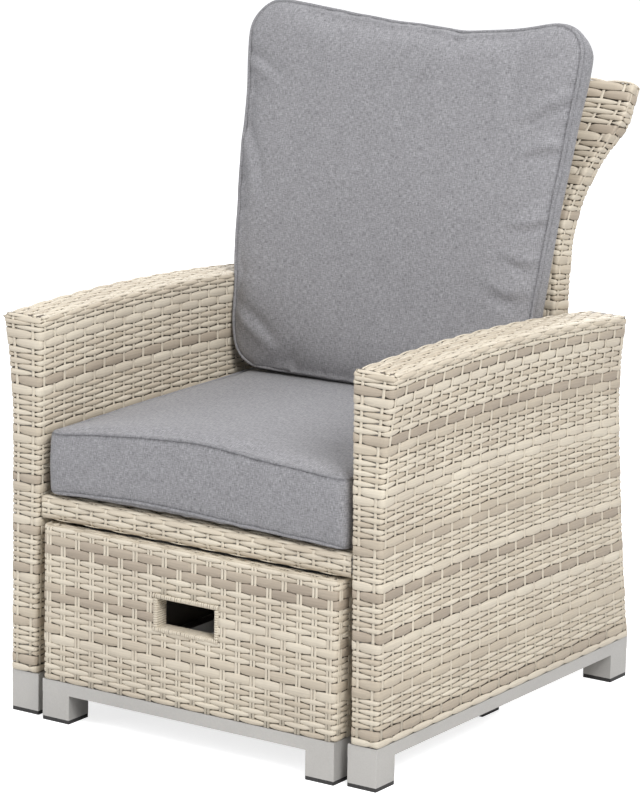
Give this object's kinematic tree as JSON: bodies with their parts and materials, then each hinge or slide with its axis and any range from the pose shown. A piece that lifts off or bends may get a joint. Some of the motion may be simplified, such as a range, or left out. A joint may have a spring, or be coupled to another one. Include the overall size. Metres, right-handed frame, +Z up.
{
  "type": "garden armchair with footstool",
  "caption": "Woven garden armchair on an aluminium base, with a reclining back, loose seat and back cushions and a padded footstool that slides out from under the seat.",
  "frame": {"origin": "on the floor, in the middle of the box around the chair with its footstool pushed in", "axes": "+Z up, +Y to the rear of the chair, +X to the right of someone who stands in front of it"},
  "size_m": [0.7048, 0.749, 1.036],
  "materials": {
    "wicker": "woven flat and half-round strands in cream, beige and taupe",
    "aluminium_base": "satin silver powder coat",
    "frame_tube": "matt grey powder coat",
    "cushion_fabric": "heather grey outdoor fabric",
    "glide": "black moulded plastic",
    "bolt_steel": "zinc plated",
    "spring_steel": "black enamel",
    "lever_grip": "moulded dark grey"
  },
  "bodies": {
    "chair": {"left_front_leg": "aluminium_base", "left_rear_leg": "aluminium_base", "left_base_rail": "aluminium_base", "left_arm_weave": "wicker", "left_arm_frame": "frame_tube", "seat_left_rail": "frame_tube", "left_hinge_plate": "frame_tube", "right_front_leg": "aluminium_base", "right_rear_leg": "aluminium_base", "right_base_rail": "aluminium_base", "right_arm_weave": "wicker", "right_arm_frame": "frame_tube", "seat_right_rail": "frame_tube", "right_hinge_plate": "frame_tube", "rear_cross_rail": "aluminium_base", "chair_foot_pads": "glide", "seat_front_rail": "frame_tube", "seat_spring_rail": "frame_tube", "seat_rear_rail": "frame_tube", "seat_deck_weave": "wicker", "seat_apron_weave": "wicker", "seat_bolts": "bolt_steel", "hinge_bolts": "bolt_steel", "gas_spring_bracket": "frame_tube", "gas_spring_front_pin": "bolt_steel"},
    "footstool": {"footstool_left_front_leg": "aluminium_base", "footstool_left_rear_leg": "aluminium_base", "footstool_left_base_rail": "aluminium_base", "footstool_right_front_leg": "aluminium_base", "footstool_right_rear_leg": "aluminium_base", "footstool_right_base_rail": "aluminium_base", "footstool_front_base_rail": "aluminium_base", "footstool_rear_base_rail": "aluminium_base", "footstool_front_weave": "wicker", "footstool_rear_weave": "wicker", "footstool_left_weave": "wicker", "footstool_right_weave": "wicker", "footstool_foot_pads": "glide", "footstool_posts": "frame_tube", "footstool_rim_frame": "frame_tube", "footstool_deck_rails": "frame_tube", "footstool_deck_weave": "wicker", "footstool_pad": "cushion_fabric", "hand_hole_binding": "wicker"},
    "seat_cushion": {"seat_cushion": "cushion_fabric"},
    "back": {"back_weave": "wicker", "back_frame": "frame_tube", "back_bottom_rail": "frame_tube", "hinge_bushes": "glide", "back_spring_lug": "frame_tube", "gas_spring_rear_pin": "bolt_steel"},
    "back_cushion": {"back_cushion": "cushion_fabric"},
    "gas_cylinder": {"gas_spring_cylinder": "spring_steel"},
    "gas_rod": {"gas_spring_rod": "bolt_steel"},
    "release_lever": {"release_shaft": "bolt_steel", "release_blade": "frame_tube", "release_grip": "lever_grip"}
  },
  "joints": [
    {"name": "back_recline", "type": "hinge", "parent": "chair", "child": "back", "pos_m": [0, 0.2395, 0.3764], "axis": [-1, 0, 0], "range_deg": [0, 30]},
    {"name": "strut_swing", "type": "hinge", "parent": "chair", "child": "gas_cylinder", "pos_m": [0, 0.0355, 0.33], "axis": [-1, 0, 0], "range_deg": [0, 0.5]},
    {"name": "rod_slide", "type": "slide", "parent": "gas_cylinder", "child": "gas_rod", "axis": [0, -0.991, 0.1337], "range_m": [0, 0.0395]},
    {"name": "release_turn", "type": "hinge", "parent": "chair", "child": "release_lever", "pos_m": [0, 0.0195, 0.333], "axis": [-1, 0, 0], "range_deg": [0, 12], "stiffness_Nm_per_rad": 0.6, "springref_deg": -22.92},
    {"name": "footstool_slide", "type": "slide", "parent": "chair", "child": "footstool", "axis": [0, -1, 0], "range_m": [0, 0.6]},
    {"name": "seat_cushion_slide", "type": "slide", "parent": "chair", "child": "seat_cushion", "axis": [0, -1, 0], "range_m": [0, 0.6]},
    {"name": "back_cushion_lift", "type": "slide", "parent": "back", "child": "back_cushion", "axis": [0, 0, 1], "range_m": [0, 0.25]}
  ],
  "couplings": [
    {"joint": "strut_swing", "follows": "back_recline", "ratio": 0.0097},
    {"joint": "rod_slide", "follows": "back_recline", "m_per_rad": 0.0745}
  ]
}
